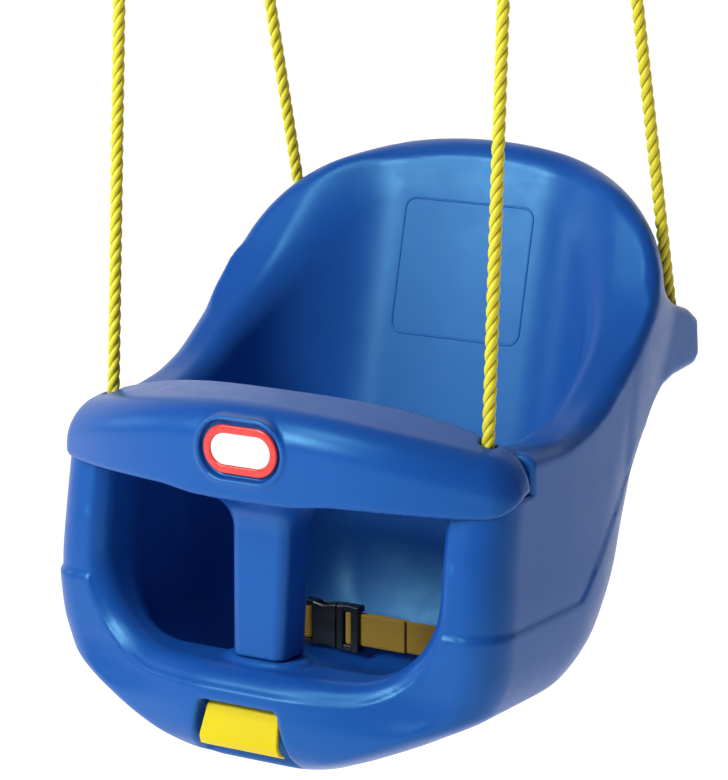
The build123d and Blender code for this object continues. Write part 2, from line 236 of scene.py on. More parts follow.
def link_mesh(name, corners, faces):
    if isinstance(faces, np.ndarray):
        faces = faces.tolist()
    mesh = bpy.data.meshes.new(name)
    mesh.from_pydata(np.asarray(corners).tolist(), [], faces)
    mesh.update()
    mesh.shade_smooth()
    piece = bpy.data.objects.new(name, mesh)
    bpy.context.scene.collection.objects.link(piece)
    return piece


def tube_faces(rings, around):
    """Four-sided faces of a tube, from ring to ring."""
    faces = []
    for k in range(rings - 1):
        for j in range(around):
            a, b = k * around + j, k * around + (j + 1) % around
            faces.append((a, b, b + around, a + around))
    return faces


def store_lay(piece, lay):
    """Keeps each corner's place in a rope's or strap's own weave, for its material."""
    attribute = piece.data.attributes.new("lay", "FLOAT_VECTOR", "POINT")
    attribute.data.foreach_set("vector", np.array(lay, np.float32).ravel())


def moulding(name, field, xs, ys, zs, reach, place=None):
    """A smooth mesh of a solid; place turns its own millimetres into the frame's."""
    corners, faces = net(field, xs, ys, zs)
    corners = settle(corners, field, 3, reach)
    if place is not None:
        corners = place(corners)
    return link_mesh(name, corners * MM, faces)


# ------------------------------------------------------------------ rope lines, in millimetres
ROPES = {
    "front": {"point": (160.0, -115.0, 248.0), "lean": 2.9, "plate": 8.0, "top": 362.0},
    "rear": {"point": (161.0, 156.0, 302.0), "lean": -14.9, "plate": 14.0, "top": 292.0},
}
LEDGE_HEIGHT = 212.0
ROPE_DIAMETER = 9.5
ROPE_HOLE = 13.0
WASHER_THICKNESS = 2.0
UNDER_WASHER = 0.2
FRONT_POCKET, REAR_POCKET = 11.2, 14.0


def rope_point(row, side, along):
    """A point on a rope, so far up it from its own reference point."""
    x, y, z = ROPES[row]["point"]
    tilt = math.radians(ROPES[row]["lean"])
    return np.array([side * x, y + along * math.sin(tilt), z + along * math.cos(tilt)])


def seat_surface(row):
    """How far along the rope it meets the top of the seat's plastic."""
    if row == "rear":
        return 0.0
    rope = ROPES["front"]
    return (LEDGE_HEIGHT - rope["point"][2]) / math.cos(math.radians(rope["lean"]))


def along_rope(row, x, y, z):
    """Distance from the rope's line and place along it, for points on both sides at once."""
    px, py, pz = ROPES[row]["point"]
    tilt = math.radians(ROPES[row]["lean"])
    along = (y - py) * math.sin(tilt) + (z - pz) * math.cos(tilt)
    across = (y - py) * math.cos(tilt) - (z - pz) * math.sin(tilt)
    return np.hypot(np.abs(x) - px, across), along


# ------------------------------------------------------------------ seat
half_width = curve_through(
    (-20, 24), (0, 44), (4, 61), (10, 74), (20, 98), (38, 138), (60, 176), (92, 190), (130, 194),
    (165, 192.5), (212, 192), (317, 197), (400, 192))
rear_line = curve_through(
    (-20, -80), (0, -49), (4, -23), (10, 0), (25, 29), (47, 57), (74, 79), (103, 95), (160, 118),
    (212, 136), (317, 163), (440, 176))
rear_corner = curve_through((20, 126), (60, 130), (212, 115), (317, 102), (400, 128))
side_front = curve_through(
    (-20, -146), (0, -158), (12, -170), (25, -175), (40, -176), (60, -169.5), (75, -167.5), (110, -168),
    (150, -165), (212, -155))
middle_front = curve_through(
    (-20, -150), (0, -159), (4, -165), (10, -176), (20, -186), (32, -190.5), (44, -191.5), (60, -190.5),
    (68, -189), (78, -186), (92, -176), (110, -168), (150, -165), (212, -155))
cavity_half = curve_through(
    (10, 50), (28, 84), (36, 108), (50, 125), (75, 138), (110, 144), (150, 145), (440, 145))
cavity_rear = curve_through(
    (10, -24), (28, 14), (36, 31), (50, 45), (75, 56), (105, 66), (150, 80), (212, 95), (317, 120),
    (450, 152))
cavity_front = curve_through(
    (10, -110), (28, -118), (36, -124), (50, -129), (75, -131), (110, -128), (212, -118), (450, -112))
arm_height = curve_through(
    (-200, 240), (-61, 240), (-30, 244.5), (-1, 255), (30, 275.5), (61, 301), (82, 323.5), (98, 346),
    (112, 368.5), (123, 388), (131, 410), (140, 448), (150, 518))
ARM_LINE = [(y, float(arm_height(y))) for y in range(-120, 151, 3)]
LUG_SIDE = [
    (60, 325), (127, 309), (156, 300), (170, 291), (173, 262), (165, 255), (131, 252), (113, 247), (98, 237),
    (84, 224), (50, 200), (50, 325)]
LEG_HALF, LEG_BOTTOM, LEG_CORNER = 141.0, 75.0, 65.0
LEG_BACK = -60.0
LEDGE_BACK = -104.0
SLOT_SIDE = 100.0
RIM = 17.0
BAND = 12.0
BAND_LEAN = math.radians(24)
FLOOR = 28.0
STEM_Y = -150.0
LIFT = math.radians(ROPES["front"]["lean"])
LIP_HEIGHT = 78.0


def leg_opening(x, z):
    return round_max(np.abs(x) - LEG_HALF, LEG_BOTTOM - z, LEG_CORNER)


def seat_walls(x, y, z):
    """Outer skin before anything is cut: a bowl with a shallow step under the band round the leg openings."""
    side = np.abs(x)
    parting = np.maximum(118, 115 + 0.916 * (y + 36))
    below_band = ease(np.minimum(parting - z, leg_opening(x, z) - BAND) / 4.0 + 0.5)
    taper = 5.0 * ease((y + 60) / 150)
    half = half_width(z) + 2.0 * below_band - taper
    middle = 1 - ease((side - 25) / 130)
    front = side_front(z) + middle * (middle_front(z) - side_front(z)) + 10 * (side / 186) ** 2.5
    front = front - 1.8 * below_band
    corner = round_max(side - half, front - y, 30)
    outline = round_max(corner, y - rear_line(z), rear_corner(z))
    steepness = 1 + 2.2 * ease((45 - z) / 45)
    return round_max(outline, -z, 6) / steepness


def seat_cavity(x, y, z):
    """The room that the child sits in."""
    room = round_max(np.abs(x) - cavity_half(z), cavity_front(z) - y, 45)
    room = round_max(room, y - cavity_rear(z), 85)
    return round_max(room, FLOOR - z, 14)


def above_seat(x, y, z):
    """Everything over the arms and the arched back."""
    over_arm = np.where(y > 150, -1.0, np.sign(z - arm_height(y))) * polyline_distance(y, z, ARM_LINE)
    arch = np.sqrt((np.abs(x) / 202) ** 2.06 + (np.maximum(z - 300, 0) / 113.8) ** 2)
    return round_max(over_arm, (arch - 1) * 122, 10)


def lugs(x, y, z, cavity):
    """The two blocks behind the back that hold the rear ropes."""
    plan = round_max(round_max(np.abs(x) - 180, y - 191, 20), 132 - np.abs(x), 10)
    lug = round_max(polygon(y, z, LUG_SIDE), plan, 8)
    return round_max(lug, -cavity - 6, 3)


def tongue_socket(x, y, z, width, depth, low):
    """A straight hole along the line that the T-bar lifts on."""
    across = (y - STEM_Y) * math.cos(LIFT) - (z - LIP_HEIGHT) * math.sin(LIFT)
    along = (y - STEM_Y) * math.sin(LIFT) + (z - LIP_HEIGHT) * math.cos(LIFT)
    return np.maximum(round_max(np.abs(x) - width / 2, np.abs(across) - depth / 2, 1.5), low - along)


def seat_field(x, y, z):
    opening = leg_opening(x, z)
    cavity = seat_cavity(x, y, z)
    above = above_seat(x, y, z)
    skin = round_max(seat_walls(x, y, z), above, RIM)
    skin = round_min(skin, lugs(x, y, z, cavity), 14)
    # bosses behind the belt's slots
    boss = round_max(box_solid(np.abs(x), y, z, (82, 3, 33), (118, 63, 79), 4), -cavity - 6, 3)
    skin = round_min(skin, boss, 6)
    window = np.maximum(opening, y - LEG_BACK)
    # the band's face leans back towards the opening
    band = skin * math.cos(BAND_LEAN) - (window - BAND) * math.sin(BAND_LEAN)
    skin = cut(round_max(skin, band, 1.5), window, 9 + 4 * ease((z - 85) / 50))
    inner = np.maximum(cut(-cavity, window, 15), round_max(-cavity, above, RIM))
    # the ledges that the T-bar rests on stop square against the arms
    ledge = np.maximum(LEDGE_HEIGHT - z, y - LEDGE_BACK)
    solid = cut(np.maximum(skin, inner), ledge, 2.5)
    # raised oval round the foot of the T-bar's stem
    oval = (np.sqrt((x / 35) ** 2 + ((y - STEM_Y) / 20) ** 2) - 1) * 22
    solid = round_min(solid, round_max(oval, np.abs(z - 66) - 13.5, 4), 3.5)
    solid = cut(solid, tongue_socket(x, y, z, 36.4, 22.4, -56), 1.0)
    # latch recess, and the window that the latch's nose works through
    half = 33 + np.clip((53 - z) / 60, 0, 1) * 12
    recess = round_max(round_max(np.abs(x) - half, z - 52, 4), y + 166, 3)
    solid = cut(solid, recess, 2.2)
    solid = cut(solid, box_solid(x, y, z, (-15, -169, 23), (15, -157, 53), 1.5), 1)
    # rope holes, and the pockets that their stop knots sit in
    from_line, along = along_rope("front", x, y, z)
    level = along - seat_surface("front")
    bore = np.maximum(from_line - ROPE_HOLE / 2, slab(level, -30, 30))
    pocket = np.maximum(from_line - FRONT_POCKET, slab(level, -36, -8))
    solid = cut(cut(solid, pocket, 1), bore, 1)
    from_line, along = along_rope("rear", x, y, z)
    bore = np.maximum(from_line - ROPE_HOLE / 2, slab(along, -30, 30))
    pocket = np.maximum(from_line - REAR_POCKET, slab(along, -94, -14))
    solid = cut(cut(solid, pocket, 2), bore, 1.5)
    # lap belt's slots through the back wall, and the stop bars' recesses behind it
    slot = box_solid(np.abs(x), y, z, (SLOT_SIDE - 2.2, 0, 41), (SLOT_SIDE + 2.2, 90, 69), 1)
    behind = box_solid(np.abs(x), y, z, (85, 57, 35.5), (115, 99, 74.5), 3)
    return cut(cut(solid, behind, 2.5), slot, 1)


def make_seat():
    xs = both_ways((0, 3.0), (30, 2.2), (48, 3.4), (94, 1.5), (106, 3.2), (142, 2.2), (202, 0))
    ys = spread((-203, 2.0), (-126, 3.0), (-104, 4.2), (90, 3.4), (200, 0))
    zs = spread((-6, 2.2), (84, 3.0), (136, 3.4), (204, 2.0), (216, 3.6), (240, 3.6), (330, 3.4), (421, 0))
    return moulding("seat_moulding", seat_field, xs, ys, zs, 1.2)


# ------------------------------------------------------------------ T-bar
BAR_END = 193.0
BAR_TOP = 272.5
BADGE_CENTRE = (0.0, 236.0)


def bar_front(x):
    return -187 + 50 * (np.abs(x) / BAR_END) ** 2.5


def bar_back(side):
    return -130 + 24 * ease(side / 165)


def t_bar_field(x, y, z):
    side = np.abs(x)
    top = z - (BAR_TOP - 28 * (side / 165) ** 2 + 0.14 * (y + 130))
    bottom = 203 - 2 * ease((side - 90) / 90) - 3.5 * (1 - ease((side - 36) / 40)) - z
    bottom = bottom + 14 * ease((y + 150) / 42) * ease((side - 160) / 28)
    front = bar_front(x) - y
    front = front / np.sqrt(1 + (0.648 * (side / BAR_END) ** 1.5) ** 2)
    back = y - bar_back(side)
    end = side - (BAR_END - 9 * ease((z - 203) / 52))
    bar = round_max(round_max(front, top, 22), end, 14)
    bar = round_max(round_max(bar, back, 7), bottom, 3.5)
    # the ends rest on the pillars' ledge, behind a lip that hangs in front of them and past their sides
    lip = round_max(front + 4.5, side - 190, 26)
    under = np.maximum(np.maximum(z - (LEDGE_HEIGHT + 0.3), LEG_HALF - side), lip)
    stem = round_max(side - (23 + 0.03 * (z - 110)), np.abs(y - STEM_Y + 0.05 * (LIP_HEIGHT - z)) - 18, 9)
    stem = np.maximum(round_max(stem, z - 215, 2), LIP_HEIGHT + 2.3 - z)
    solid = cut(round_min(bar, stem, 28), under, 1)
    solid = np.maximum(solid, y - bar_back(side))
    # tongue with the catch that the latch's nose holds
    tongue = tongue_socket(x, y, z, 34, 20, -54)
    along = (y - STEM_Y) * math.sin(LIFT) + (z - LIP_HEIGHT) * math.cos(LIFT)
    tongue = round_max(tongue, along - 6, 1)
    catch = box_solid(x, y, z, (-18, -167, 31), (18, -159, 43), 1)
    solid = round_min(solid, cut(tongue, catch, 1), 1)
    # badge seat, with a raised edge round it
    badge = stadium(x - BADGE_CENTRE[0], z - BADGE_CENTRE[1], 68, 41)
    edge = np.hypot(badge - 2.4, np.maximum(bar_front(x) - y - 0.2, 0)) - 1.5
    edge = np.maximum(edge, y + 175)
    solid = round_min(solid, edge, 2.0)
    solid = cut(solid, np.maximum(badge, y + 183), 0.8)
    # rope holes
    from_line, along = along_rope("front", x, y, z)
    return cut(solid, np.maximum(from_line - ROPE_HOLE / 2, slab(along, -60, 60)), 1.5)


def make_t_bar():
    xs = both_ways((0, 1.8), (40, 2.2), (140, 1.9), (202, 0))
    ys = spread((-192, 1.3), (-176, 1.9), (-88, 0))
    zs = spread((20, 2.0), (84, 3.0), (170, 2.0), (278, 0))
    return moulding("t_bar_moulding", t_bar_field, xs, ys, zs, 0.8)


# ------------------------------------------------------------------ badge
def bezel_field(x, y, z):
    oval = stadium(x, z, 62, 35)
    ring = np.abs(oval + 3.0) - 3.0
    return round_max(ring, slab(y, -186.2, -183), 1.3)


def plate_field(x, y, z):
    oval = stadium(x, z, 49.9, 22.9)
    crown = -185.2 - 0.5 * np.clip(-oval / 8, 0, 1)
    return round_max(oval, slab(y, crown, -183), 0.5)


def make_badge():
    def place(corners):
        return corners + np.array([BADGE_CENTRE[0], 0, BADGE_CENTRE[1]])

    ys = spread((-187, 0.35), (-182, 0))
    xs, zs = spread((-33, 0.6), (33, 0)), spread((-19, 0.6), (19, 0))
    bezel = moulding("badge_ring", bezel_field, xs, ys, zs, 0.3, place)
    plate = moulding("badge_face", plate_field, xs, ys, zs, 0.3, place)
    return bezel, plate


# ------------------------------------------------------------------ latch
LEVER_PLATE = [
    (-180.5, 49.8), (-184.5, 47), (-190.8, 27), (-191.3, 23.5), (-188.5, 18), (-181.5, 15), (-181.5, 17.5),
    (-186, 20.5), (-187.8, 25), (-182, 44), (-179.5, 46), (-179, 49)]
LEVER_BOSS = [(-183, 47.5), (-186, 35), (-178, 36), (-178, 47.5)]
LEVER_NOSE = [(-180, 40), (-173, 40.5), (-164.3, 38.5), (-164.3, 36), (-167, 34), (-180, 36)]
LATCH_PIVOT = (-178.0, 43.0)


def lever_field(x, y, z):
    side = np.abs(x)
    reach = 30.5 + 3.5 * np.clip((48 - z) / 30, 0, 1.2)
    plate = round_max(polygon(y, z, LEVER_PLATE), (side - reach) * 0.98, 1.1)
    pin = np.hypot(y - LATCH_PIVOT[0], z - LATCH_PIVOT[1])
    knuckle = round_max(np.minimum(pin - 5.5, polygon(y, z, LEVER_BOSS)), side - 13, 0.8)
    nose = round_max(polygon(y, z, LEVER_NOSE), side - 11, 0.8)
    solid = round_min(round_min(plate, knuckle, 1.5), nose, 1)
    return cut(solid, pin - 2.06, 0.3)


def make_latch():
    xs = spread((-38, 0.9), (38, 0))
    ys = spread((-194, 0.55), (-160, 0))
    zs = spread((6, 0.6), (53, 0))
    return moulding("latch_moulding", lever_field, xs, ys, zs, 0.4)


# ------------------------------------------------------------------ buckle
BELT_HEIGHT, BELT_LINE, BELT_WIDTH, BELT_THICKNESS = 55.0, 10.0, 25.0, 1.6
BUCKLE_LEFT, BUCKLE_MOUTH, BUCKLE_RIGHT = -72.0, -42.0, -21.5
BUCKLE_HALF, BUCKLE_DEPTH = 18.0, 11.0
BAR_RADIUS = 2.2
STRAP_GAP = 0.35
FEMALE_BAR, MALE_BAR = BUCKLE_LEFT + 3, BUCKLE_MOUTH + 10.7


def female_field(x, y, z):
    across, up = np.abs(y - BELT_LINE), np.abs(z - BELT_HEIGHT)
    # housing, waisted a little where fingers squeeze the prongs
    waist = 1.6 * np.exp(-(((x - BUCKLE_MOUTH + 12) / 6) ** 2))
    swell = 0.6 * np.exp(-((up / 9) ** 4))
    shell = round_max(across - BUCKLE_DEPTH / 2 - swell + 0.6, up - BUCKLE_HALF + waist, 2.5)
    shell = round_max(shell, slab(x, BUCKLE_LEFT + 8, BUCKLE_MOUTH), 1.2)
    channel = np.maximum(np.maximum(across - 3.3, up - 12.5), BUCKLE_MOUTH - 21 - x)
    squeeze = np.maximum(across - 3.3, np.abs(x - BUCKLE_MOUTH + 12) - 5)
    shell = cut(cut(shell, channel, 0.4), squeeze, 0.5)
    cheek = np.maximum(slab(x, BUCKLE_LEFT + 0.3, BUCKLE_LEFT + 9.5), across - BUCKLE_DEPTH / 2 + 1.6)
    cheek = round_max(cheek, slab(up, BUCKLE_HALF - 4.8, BUCKLE_HALF - 0.3), 0.8)
    bar = np.maximum(np.hypot(x - FEMALE_BAR, across) - BAR_RADIUS, up - BUCKLE_HALF + 1)
    return np.minimum(round_min(shell, cheek, 1.0), bar)


def male_field(x, y, z):
    across, up = np.abs(y - BELT_LINE), np.abs(z - BELT_HEIGHT)
    left = BUCKLE_MOUTH + 0.3
    base = round_max(across - BUCKLE_DEPTH / 2 + 0.5, up - BUCKLE_HALF, 2.2)
    base = round_max(base, slab(x, left, left + 5.7), 0.7)
    guide = round_max(np.maximum(across - 1.6, up - 3), slab(x, left - 17, left + 1), 0.6)
    cheek = np.maximum(slab(x, left + 4, BUCKLE_RIGHT), across - BUCKLE_DEPTH / 2 + 1.0)
    cheek = round_max(cheek, slab(up, BUCKLE_HALF - 4.9, BUCKLE_HALF), 1.0)
    bar = np.maximum(np.hypot(x - MALE_BAR, across) - BAR_RADIUS, up - BUCKLE_HALF + 1)
    end = round_max(slab(x, BUCKLE_RIGHT - 6.8, BUCKLE_RIGHT), slab(y, 4.2, 6.35), 0.8)
    end = round_max(end, up - BUCKLE_HALF, 0.8)
    roots = np.maximum(np.hypot(x - left - 3, up - 8.8) - 2.0, across - 2.9)
    mouths = np.maximum(np.maximum(np.abs(x - left - 0.6) - 1.6, across - 2.9), np.abs(up - 8.8) - 1.9)
    solid = np.minimum(round_min(round_min(base, cheek, 0.8), guide, 0.5), bar)
    return cut(np.minimum(solid, end), np.minimum(roots, mouths), 0.2)


def prong_field(x, y, z):
    """Both prongs, told apart by which side of the belt they are on."""
    up = np.abs(z - BELT_HEIGHT)
    root = BUCKLE_MOUTH + 3.3
    outline = [
        (root, 7.5), (root - 20, 7.5), (root - 20, 10.6), (root - 17, 12.2), (root - 9, 12.2),
        (root - 7, 10.1), (root, 10.1)]
    flat = np.minimum(polygon(x, up, outline), np.hypot(x - root, up - 8.8) - 1.9)
    return round_max(flat, np.abs(y - BELT_LINE) - 2.6, 0.5)


def make_buckle():
    ys = spread((3.5, 0.45), (16.5, 0))
    zs = spread((BELT_HEIGHT - 19, 0.5), (BELT_HEIGHT + 19, 0))
    female = moulding("buckle_housing", female_field, spread((-73, 0.5), (-41, 0)), ys, zs, 0.3)
    male = moulding("buckle_insert", male_field, spread((-60, 0.5), (-20.5, 0)), ys, zs, 0.3)
    prongs = []
    for hand, low, high in (("upper", 5, 14), ("lower", -14, -5)):
        xs, ys = spread((-61, 0.4), (-35, 0)), spread((6.5, 0.4), (13.5, 0))
        zs = spread((BELT_HEIGHT + low, 0.4), (BELT_HEIGHT + high, 0))
        prongs.append(moulding(f"buckle_prong_{hand}_arm", prong_field, xs, ys, zs, 0.2))
    return female, male, prongs


# ------------------------------------------------------------------ webbing
def arc(centre, radius, start, end, count=14):
    """Points along an arc, angles in degrees."""
    angles = np.radians(np.linspace(start, end, count))
    return [(centre[0] + radius * math.cos(a), centre[1] + radius * math.sin(a)) for a in angles]


def even_steps(points, spacing):
    """The same line with its points evenly spaced."""
    points = np.array(points, float)
    lengths = np.linalg.norm(np.diff(points, axis=0), axis=1)
    points = points[np.concatenate([[True], lengths > 1e-6])]
    at = np.concatenate([[0], np.cumsum(np.linalg.norm(np.diff(points, axis=0), axis=1))])
    places = np.linspace(0, at[-1], max(3, round(at[-1] / spacing)))
    return np.stack([np.interp(places, at, points[:, k]) for k in range(2)], 1), places


def webbing(name, plan):
    """A ribbed strap on edge, following a line in plan."""
    line, along = even_steps(plan, 1.0)
    tangent = np.gradient(line, axis=0)
    tangent /= np.linalg.norm(tangent, axis=1)[:, None]
    normal = np.stack([-tangent[:, 1], tangent[:, 0]], 1)
    rows, rib_depth, rib_count = 53, 0.16, 6.5
    up = np.linspace(-1, 1, rows)
    rib = rib_depth * np.abs(np.sin(up * math.pi * rib_count))
    edge = np.sqrt(np.clip(1 - np.abs(up) ** 24, 0, 1))
    half = (BELT_THICKNESS / 2 - rib_depth + rib) * np.maximum(edge, 0.35)
    section = [(h, u) for h, u in zip(half, up)] + [(-h, u) for h, u in zip(half[::-1], up[::-1])]
    corners = []
    lay = []
    for (px, py), (nx, ny), s in zip(line, normal, along):
        for out, u in section:
            corners.append((px + nx * out, py + ny * out, BELT_HEIGHT + u * BELT_WIDTH / 2))
            lay.append((s, u * BELT_WIDTH / 2, out))
    ring = len(section)
    faces = tube_faces(len(line), ring)
    for end in (0, len(line) - 1):
        start = end * ring
        for j in range(rows - 1):
            cap = [start + j, start + j + 1, start + ring - 2 - j, start + ring - 1 - j]
            faces.append(cap[::-1] if end == 0 else cap)
    piece = link_mesh(name, np.array(corners) * MM, faces)
    store_lay(piece, lay)
    return piece


def belt_plan(side):
    """Plan of a strap from the buckle, through its slot and round its stop bar."""
    slot, turn, anchor = side * SLOT_SIDE, 9.0, 64.0
    loop = 2.5 + STRAP_GAP + BELT_THICKNESS / 2
    start = BUCKLE_LEFT - 5 if side < 0 else BUCKLE_RIGHT + 27.5
    plan = [(start, BELT_LINE)]
    bend = arc((slot - side * turn, BELT_LINE + turn), turn, -90, 0)
    plan += bend if side > 0 else [(2 * (slot - side * turn) - x, y) for x, y in bend]
    plan += [(slot, anchor - 9), (slot + loop, anchor - 0.5)]
    plan += arc((slot, anchor), loop, 0, 180)
    plan += [(slot - loop, anchor - 0.5), (slot - 0.9, anchor - 7)]
    return plan


def make_belts():
    """Two straps, with one end folded round each half of the buckle."""
    layer = BELT_THICKNESS + STRAP_GAP
    fold = BAR_RADIUS + STRAP_GAP + BELT_THICKNESS / 2
    left = webbing("belt_left_strap", belt_plan(-1))
    right = webbing("belt_right_strap", belt_plan(1))
    start = BUCKLE_LEFT - 5
    female_fold = [(start - 9, BELT_LINE - 1.7), (start, BELT_LINE - 1.9), (FEMALE_BAR, BELT_LINE - fold)]
    female_fold += arc((FEMALE_BAR, BELT_LINE), fold, -90, 90)
    female_fold += [(start + 0.5, BELT_LINE + 0.5), (start - 1.5, BELT_LINE + 0.1)]
    fold_piece = webbing("belt_left_fold", female_fold)
    end = BUCKLE_RIGHT + 39.5
    male_fold = [(end, BELT_LINE - layer), (MALE_BAR + 5, BELT_LINE - layer), (MALE_BAR, BELT_LINE - fold)]
    male_fold += arc((MALE_BAR, BELT_LINE), fold, -90, -270)
    male_fold += [(MALE_BAR + 5, BELT_LINE + layer), (end, BELT_LINE + layer)]
    loop = webbing("belt_adjuster_loop", male_fold)
    return left, right, fold_piece, loop


# ------------------------------------------------------------------ ropes
def route_line(points, fineness):
    """The points that a cord's smooth route runs through, in metres."""
    curve = bpy.data.curves.new("route", "CURVE")
    curve.dimensions = "3D"
    spline = curve.splines.new("NURBS")
    spline.points.add(len(points) - 1)
    for control, place in zip(spline.points, points):
        control.co = (*place, 1)
    spline.order_u = 3
    spline.use_endpoint_u = True
    curve.resolution_u = fineness
    holder = bpy.data.objects.new("route", curve)
    bpy.context.scene.collection.objects.link(holder)
    mesh = bpy.data.meshes.new_from_object(holder)
    line = np.array([v.co for v in mesh.vertices], float)
    bpy.data.objects.remove(holder)
    bpy.data.curves.remove(curve)
    bpy.data.meshes.remove(mesh)
    return line


def across_line(line):
    """Two directions square to a line at each of its points, turning as little as they can."""
    tangent = np.gradient(line, axis=0)
    tangent /= np.linalg.norm(tangent, axis=1)[:, None]
    first = np.cross(tangent[0], (0.3, 1.0, 0.2))
    first /= np.linalg.norm(first)
    firsts = []
    for direction in tangent:
        first = first - direction * first.dot(direction)
        first /= np.linalg.norm(first)
        firsts.append(first.copy())
    firsts = np.array(firsts)
    return firsts, np.cross(tangent, firsts)


ROPE_PITCH = 0.0305
STRANDS = 3
YARN_PITCH = 0.0062
YARN_DEPTH = 0.00010


def laid_rope(name, line, diameter=ROPE_DIAMETER * MM, around=45, turned=0.0):
    """A three-strand rope along a line: one skin whose section is three lobes that wind round it."""
    first, second = across_line(line)
    along = np.concatenate([[0], np.cumsum(np.linalg.norm(np.diff(line, axis=0), axis=1))])
    angle = np.arange(around) * 2 * math.pi / around
    corners, lay = [], []
    for centre, a, b, s in zip(line, first, second, along):
        turn = turned + 2 * math.pi * s / ROPE_PITCH
        strand = (angle - turn) * STRANDS / 2
        lobe = np.abs(np.cos(strand))
        radius = diameter / 2 * (0.66 + 0.34 * lobe ** 0.75)
        # yarns cross each strand the other way
        yarn = YARN_DEPTH * np.sin(angle * STRANDS * 5 + 2 * math.pi * s / YARN_PITCH) * lobe
        radius = radius + yarn - YARN_DEPTH / 2
        corners.append(centre + np.outer(radius * np.cos(angle), a) + np.outer(radius * np.sin(angle), b))
        lay.append(np.stack([strand, np.full(around, s), lobe], 1))
    corners, lay = np.concatenate(corners), np.concatenate(lay)
    faces = tube_faces(len(line), around)
    faces.append(list(range(around))[::-1])
    last = (len(line) - 1) * around
    faces.append([last + j for j in range(around)])
    piece = link_mesh(name, corners, faces)
    store_lay(piece, lay)
    return piece


def rope_axes(row):
    """Two directions square to a rope, and the one up it."""
    tilt = math.radians(ROPES[row]["lean"])
    up = np.array([0, math.sin(tilt), math.cos(tilt)])
    return np.array([1.0, 0, 0]), np.cross(up, (1.0, 0, 0)), up


def stop_knot(name, row, side):
    """The rope wound twice round itself under its washer."""
    x_axis, y_axis, up = rope_axes(row)
    top = seat_surface(row) - ROPES[row]["plate"] - WASHER_THICKNESS - UNDER_WASHER
    centre = rope_point(row, side, top - 10)
    radius, half_rise, turns, count = 5.7, 4.6, 2.15, 110
    line = []
    for k in range(count):
        t = k / (count - 1)
        angle = 2 * math.pi * turns * t
        rise = half_rise * math.cos(math.pi * t)
        point = centre + radius * (math.cos(angle) * x_axis + math.sin(angle) * y_axis) + rise * up
        line.append(point * MM)
    return laid_rope(name, np.array(line), diameter=(ROPE_DIAMETER - 0.4) * MM, around=27)


EYE_BORE, EYE_OUTSIDE, EYE_WIDTH = 20.0, 38.0, 11.0


def eye_field(x, y, z):
    """Top eye in its own frame: the rope comes up Z into a crimped collar."""
    ring_height = 26 + EYE_OUTSIDE / 2
    mean, thick = (EYE_OUTSIDE + EYE_BORE) / 4, (EYE_OUTSIDE - EYE_BORE) / 4
    around = np.hypot(y, z - ring_height) - mean
    ring = round_max(np.abs(around) - thick, np.abs(x) - EYE_WIDTH / 2, 3.6)
    crimp = 0.5 * ease((np.cos((z - 13) * 2 * math.pi / 7) - 0.2) * 2) * ((z > 4) & (z < 23))
    collar = round_max(np.hypot(x, y) - 8 + crimp, slab(z, 0, 30), 1.5)
    bore = np.hypot(y, z - ring_height) - EYE_BORE / 2
    return cut(round_min(ring, collar, 3), np.maximum(bore, np.abs(x) - 20), 0.5)


def make_rope(row, side, hand):
    start = seat_surface(row) - ROPES[row]["plate"] - WASHER_THICKNESS - UNDER_WASHER
    top = ROPES[row]["top"]
    route = [rope_point(row, side, start) * MM, rope_point(row, side, top) * MM]
    line = route_line(route, 330)
    rope = laid_rope(f"rope_{row}_{hand}_strands", line, turned=0.7 + side + (row == "rear"))
    knot = stop_knot(f"rope_{row}_{hand}_stop_knot", row, side)
    x_axis, y_axis, up = rope_axes(row)
    base = rope_point(row, side, top)

    def place(corners):
        level = base + np.outer(corners[:, 0], x_axis) + np.outer(corners[:, 1], y_axis)
        return level + np.outer(corners[:, 2], up)

    xs, ys, zs = spread((-9, 0.8), (9, 0)), spread((-20, 0.8), (20, 0)), spread((-1, 0.8), (65, 0))
    eye = moulding(f"rope_{row}_{hand}_top_eye", eye_field, xs, ys, zs, 0.4, place)
    for piece, kind in ((rope, "rope"), (knot, "rope_knot"), (eye, "rope_eye")):
        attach(piece, "seat")
        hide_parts(f"{kind}_{row}_{hand}")
    return rope, knot, eye


# ------------------------------------------------------------------ materials
def new_material(name):
    material = bpy.data.materials.new(name)
    material.use_nodes = True
    tree = material.node_tree
    shader = tree.nodes["Principled BSDF"]
    return material, tree, shader


def lay_parts(tree):
    """The three parts of the lay that store_lay keeps."""
    lay = tree.nodes.new("ShaderNodeAttribute")
    lay.attribute_name = "lay"
    parts = tree.nodes.new("ShaderNodeSeparateXYZ")
    tree.links.new(lay.outputs["Vector"], parts.inputs[0])
    return parts.outputs


def maths(tree, operation, *values):
    """A maths node over sockets and plain numbers."""
    made = tree.nodes.new("ShaderNodeMath")
    made.operation = operation
    for socket, value in zip(made.inputs, values):
        if isinstance(value, float):
            socket.default_value = value
        else:
            tree.links.new(value, socket)
    return made.outputs[0]


def noise(tree, vector, scale, detail=2.0, roughness=0.5):
    made = tree.nodes.new("ShaderNodeTexNoise")
    made.inputs["Scale"].default_value = scale
    made.inputs["Detail"].default_value = detail
    made.inputs["Roughness"].default_value = roughness
    tree.links.new(vector, made.inputs["Vector"])
    return made.outputs["Fac"]


def remap(tree, value, low, high, to_low, to_high):
    made = tree.nodes.new("ShaderNodeMapRange")
    made.inputs["From Min"].default_value = low
    made.inputs["From Max"].default_value = high
    made.inputs["To Min"].default_value = to_low
    made.inputs["To Max"].default_value = to_high
    tree.links.new(value, made.inputs["Value"])
    return made.outputs["Result"]


